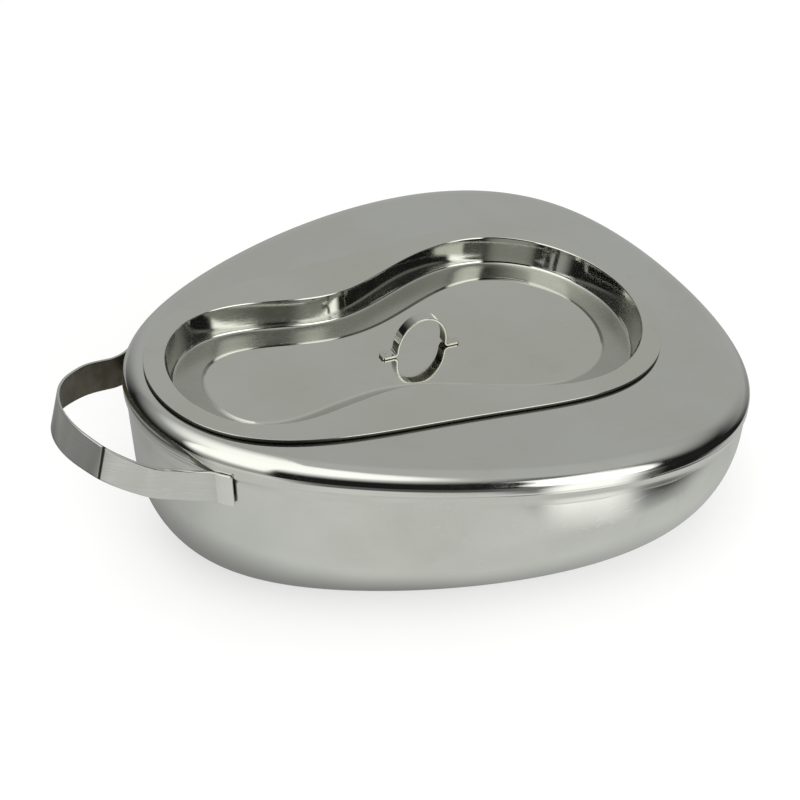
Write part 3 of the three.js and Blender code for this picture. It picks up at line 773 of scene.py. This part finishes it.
fm = Nodes("studio_floor")
fcol = fm.mix(fm.remap(fm.noise(6.0, 3.0, 0.5), 0.3, 0.7, 0.0, 1.0), (0.33, 0.33, 0.329), (0.345, 0.345, 0.344))
fm.nt.links.new(fcol, fm.bsdf.inputs["Base Color"])
fm.bsdf.inputs["Roughness"].default_value = 0.7
fm.bsdf.inputs["Specular IOR Level"].default_value = 0.15
fm.bsdf.inputs["Emission Color"].default_value = (1.0, 1.0, 0.998, 1.0)
fm.bsdf.inputs["Emission Strength"].default_value = 0.62
# painted reflection, seen only by glossy rays: the table as polished metal sees it, a pale sheet round the pan, dark
# beyond it in front and at the right, with painted pools of light from the strip light's foot and the left soft box
# lying on it
fx_ = fm.node("ShaderNodeVectorMath", {0: fm.coord, 1: FRONT}, operation="DOT_PRODUCT").outputs["Value"]
fy_ = fm.node("ShaderNodeVectorMath", {0: fm.coord, 1: SIDE}, operation="DOT_PRODUCT").outputs["Value"]
turn = fm.math("ADD", fm.math("DIVIDE", fm.math("ARCTAN2", fy_, fx_), TAU), 0.5)


def ramp(stops, scale=1.0, interp="B_SPLINE"):
    """A value by azimuth: stops are (degrees, value) with the front at 0."""
    n = fm.node("ShaderNodeValToRGB", {0: turn})
    n.color_ramp.interpolation = interp
    el = n.color_ramp.elements
    while len(el) < len(stops):
        el.new(0.5)
    for e, (deg, v) in zip(el, sorted(stops)):
        e.position = (deg + 180) / 360
        e.color = (v / scale,) * 3 + (1,)
    bw = fm.node("ShaderNodeSeparateColor", {0: n.outputs[0]})
    return fm.math("MULTIPLY", bw.outputs[0], scale)


near = ramp([(-180, 0.5), (-130, 0.42), (-95, 0.38), (-72, 0.5), (-52, 0.68), (-30, 0.8), (4, 0.82), (20, 0.84), (36, 0.79), (48, 0.8), (60, 0.82), (85, 0.62), (130, 0.56), (180, 0.5)], 1.2)
far = ramp([(-180, 0.5), (-130, 0.42), (-110, 0.3), (-88, 0.15), (-70, 0.13), (-56, 0.16), (-50, 0.5), (-44, 0.8), (-24, 0.82), (-18, 0.4), (-12, 0.16), (6, 0.1), (20, 0.12), (31, 0.25), (35, 1.3), (38, 1.6), (48, 1.6), (52, 1.2), (57, 0.2), (62, 0.015), (96, 0.015), (112, 0.3), (135, 0.5), (180, 0.5)], 1.7, "LINEAR")
sx = fm.node("ShaderNodeSeparateXYZ", {0: fm.coord})
ex, ey = sx.outputs[0], sx.outputs[1]
q = fm.math("SQRT", fm.math("ADD", fm.math("POWER", fm.math("DIVIDE", fm.math("SUBTRACT", ex, 0.0216), 0.172), 2.0), fm.math("POWER", fm.math("DIVIDE", ey, 0.143), 2.0)))
q_from = ramp([(-180, 1.6), (-90, 1.45), (-60, 1.45), (-40, 1.6), (-20, 1.7), (0, 1.66), (22, 1.66), (34, 1.34), (50, 1.34), (64, 1.42), (80, 1.5), (110, 1.5), (180, 1.6)], 3.0)
q_over = ramp([(-180, 0.7), (-90, 0.4), (-60, 0.25), (-40, 0.5), (-20, 0.6), (0, 0.38), (24, 0.2), (34, 0.3), (50, 0.3), (64, 0.16), (80, 0.2), (110, 0.3), (180, 0.7)], 3.0)
away = fm.math("DIVIDE", fm.math("SUBTRACT", q, q_from), q_over, clamp=True)
away = fm.remap(away, 0.0, 1.0)
seen = fm.math("ADD", near, fm.math("MULTIPLY", fm.math("SUBTRACT", far, near), away))
qb = fm.math("SQRT", fm.math("ADD", fm.math("POWER", fm.math("DIVIDE", fm.math("SUBTRACT", ex, 0.0216), 0.131), 2.0), fm.math("POWER", fm.math("DIVIDE", ey, 0.097), 2.0)))
beyond = ramp([(-180, 0.0), (-125, 0.0), (-105, 0.2), (-62, 0.2), (-50, 0.0), (180, 0.0)], 1.0)
seen = fm.math("ADD", seen, fm.math("MULTIPLY", beyond, fm.remap(q, 2.1, 2.7, 0.0, 1.0)))
qb_end = ramp([(-180, 1.9), (-60, 1.95), (-24, 1.42), (20, 1.34), (42, 1.6), (60, 1.85), (90, 1.9), (180, 1.9)], 3.0)
# painted contact shadow: the floor that the metal sees darkens towards the pan's base
seen = fm.math("MULTIPLY", seen, fm.remap(fm.math("DIVIDE", fm.math("SUBTRACT", qb, 0.98), fm.math("SUBTRACT", qb_end, 0.98)), 0.0, 1.0, 0.3, 1.0))
seen = fm.math("MULTIPLY", seen, fm.remap(fm.noise(9.0, 2.0, 0.5), 0.3, 0.7, 0.94, 1.06))
glow = fm.node("ShaderNodeEmission", {"Color": (0.995, 1.0, 0.975, 1.0), "Strength": seen})
fmix = fm.node("ShaderNodeMixShader", {0: fm.node("ShaderNodeLightPath").outputs["Is Glossy Ray"]})
fm.nt.links.new(fm.bsdf.outputs[0], fmix.inputs[1])
fm.nt.links.new(glow.outputs[0], fmix.inputs[2])
fm.nt.links.new(fmix.outputs[0], fm.out.inputs[0])
floor.data.materials.append(fm.mat)

world = bpy.data.worlds.new("studio")
bpy.context.scene.world = world
world.use_nodes = True
wt = world.node_tree
wt.nodes.clear()
wn = lambda kind, **p: (lambda n: ([setattr(n, k, v) for k, v in p.items()], n)[1])(wt.nodes.new(kind))


def wlink(v, sock):
    if isinstance(v, bpy.types.NodeSocket):
        wt.links.new(v, sock)
    else:
        sock.default_value = v


def wmath(op, a, b=None, clamp=False):
    n = wn("ShaderNodeMath", operation=op, use_clamp=clamp)
    wlink(a, n.inputs[0])
    if b is not None:
        wlink(b, n.inputs[1])
    return n.outputs[0]


def wrange(v, lo, hi, a, b):
    n = wn("ShaderNodeMapRange", interpolation_type="SMOOTHSTEP")
    for k, x in (("Value", v), ("From Min", lo), ("From Max", hi), ("To Min", a), ("To Max", b)):
        wlink(x, n.inputs[k])
    return n.outputs[0]


BACK_WALL, TOP_BOX, LEFT_BOX, STRIP_BOX = 0.53, 1.6, 1.65, 2.0
direction = wn("ShaderNodeTexCoord").outputs["Generated"]


def wdot(v):
    n = wn("ShaderNodeVectorMath", operation="DOT_PRODUCT")
    wt.links.new(direction, n.inputs[0])
    n.inputs[1].default_value = v
    return n.outputs["Value"]


front, side, up_ = wdot(FRONT), wdot(SIDE), wdot((0.0, 0.0, 1.0))
azim = wmath("MULTIPLY", wmath("ARCTAN2", side, front), 57.29578)   # 0 towards the camera, + to its right
elev = wmath("MULTIPLY", wmath("ARCSINE", up_), 57.29578)
flat_len = wmath("SQRT", wmath("MAXIMUM", wmath("SUBTRACT", 1.0, wmath("MULTIPLY", up_, up_)), 1e-6))


def toward(deg, el=None):
    """How nearly a direction points to this azimuth (level part only) or to this azimuth and elevation."""
    c, s_ = math.cos(math.radians(deg)), math.sin(math.radians(deg))
    if el is None:
        return wmath("DIVIDE", wmath("ADD", wmath("MULTIPLY", front, c), wmath("MULTIPLY", side, s_)), flat_len)
    ce, se = math.cos(math.radians(el)), math.sin(math.radians(el))
    return wmath("ADD", wmath("ADD", wmath("MULTIPLY", front, c * ce), wmath("MULTIPLY", side, s_ * ce)), wmath("MULTIPLY", up_, se))


# walls of the room: even grey behind, fading to dark at the sides and rising towards the ceiling
back_wall = wrange(toward(168), 0.22, 0.9, 0.0, BACK_WALL)
on_right = wrange(azim, -10.0, 10.0, 0.0, 10.0)
ceiling = wmath("MULTIPLY", wrange(wmath("ADD", elev, on_right), 16.0, 66.0, 0.0, 0.6), wmath("SUBTRACT", 1.0, wmath("MULTIPLY", wrange(azim, -27.0, -17.0, 0.0, 1.0), wrange(azim, 66.0, 90.0, 1.0, 0.0))))
level = wmath("MAXIMUM", back_wall, ceiling)
# round soft box overhead
overhead = wrange(toward(-60, 84), math.cos(math.radians(26)), math.cos(math.radians(13)), 0.0, 1.0)
# large soft box at the camera's left, reaching up to the one overhead
skew = wmath("ADD", azim, wmath("MULTIPLY", elev, 0.55))
left_box = wmath("MULTIPLY", wmath("MULTIPLY", wrange(skew, -54.0, -42.0, 0.0, 1.0), wrange(azim, -25.0, -20.0, 1.0, 0.0)),
                 wmath("ADD", wrange(elev, 14.0, 44.0, 0.0, 0.72), wrange(elev, -8.0, 4.0, 0.0, 0.28)))
# slanting strip at the camera's right: its top and its foot both rise to the right
top_edge = wmath("MINIMUM", wmath("ADD", wmath("MULTIPLY", azim, 1.8), -31.0), 56.0)
foot_edge = wmath("MAXIMUM", wmath("ADD", wmath("MULTIPLY", azim, 2.5), -147.0), -60.0)
strip_box = wmath("MULTIPLY", wmath("MULTIPLY", wrange(azim, 28.0, 32.0, 0.0, 1.0), wrange(azim, 58.0, 84.0, 1.0, 0.35)),
                  wmath("MULTIPLY", wrange(wmath("SUBTRACT", elev, top_edge), -5.0, 5.0, 1.0, 0.0), wrange(wmath("SUBTRACT", elev, foot_edge), -7.0, 9.0, 0.0, 1.0)))
strip_box = wmath("MULTIPLY", strip_box, wrange(azim, 80.0, 92.0, 1.0, 0.0))
# the front's own fade up to the overhead box, reaching lower at the left
lean = wmath("MULTIPLY", wmath("MINIMUM", wmath("MAXIMUM", azim, -30.0), 40.0), 0.25)
rise = wrange(wmath("SUBTRACT", elev, lean), 43.0, 83.0, 0.0, TOP_BOX)
for part in (wmath("MULTIPLY", overhead, TOP_BOX), wmath("MULTIPLY", left_box, LEFT_BOX), wmath("MULTIPLY", strip_box, STRIP_BOX), wmath("MULTIPLY", rise, wrange(azim, 60.0, 100.0, 1.0, 0.5))):
    level = wmath("MAXIMUM", level, part)
level = wmath("MAXIMUM", level, 0.016)
lit = wn("ShaderNodeBackground")
wt.links.new(level, lit.inputs["Strength"])
lit.inputs["Color"].default_value = (0.995, 1.0, 0.975, 1.0)
plain = wn("ShaderNodeBackground")
plain.inputs["Color"].default_value = (0.93, 0.93, 0.93, 1.0)
plain.inputs["Strength"].default_value = 1.0
mixw = wn("ShaderNodeMixShader")
wt.links.new(wn("ShaderNodeLightPath").outputs["Is Camera Ray"], mixw.inputs[0])
wt.links.new(lit.outputs[0], mixw.inputs[1])
wt.links.new(plain.outputs[0], mixw.inputs[2])
wt.links.new(mixw.outputs[0], wn("ShaderNodeOutputWorld").inputs[0])


def area(name, loc, size, power, target=(0, 0, 0.05), glossy=False):
    data = bpy.data.lights.new(name, "AREA")
    data.shape = "DISK"
    data.size = size
    data.energy = power
    ob = bpy.data.objects.new(name, data)
    bpy.context.scene.collection.objects.link(ob)
    ob.location = loc
    ob.rotation_euler = (Vector(target) - Vector(loc)).to_track_quat("-Z", "Y").to_euler()
    ob.visible_glossy = glossy
    return ob


area("overhead_soft", (-0.1, -0.3, 2.4), 2.6, 27.0)
area("front_soft", (-0.2, -2.2, 1.7), 1.8, 30.0)

# ------------------------------------------------------------------ camera
aim = np.array([-9.3104, 19.2029, 40.0])
place = to_row(aim + BACK * 868.1255)
cam_data = bpy.data.cameras.new("camera")
cam_data.sensor_width = 36.0
cam_data.lens = 66.446
cam_data.clip_start = 0.05
cam_data.clip_end = 100.0
cam = bpy.data.objects.new("camera", cam_data)
bpy.context.scene.collection.objects.link(cam)
cam.location = place
cam.rotation_euler = (Vector(to_row(aim)) - Vector(place)).to_track_quat("-Z", "Y").to_euler()
bpy.context.scene.camera = cam
bpy.context.scene.view_settings.view_transform = "Standard"
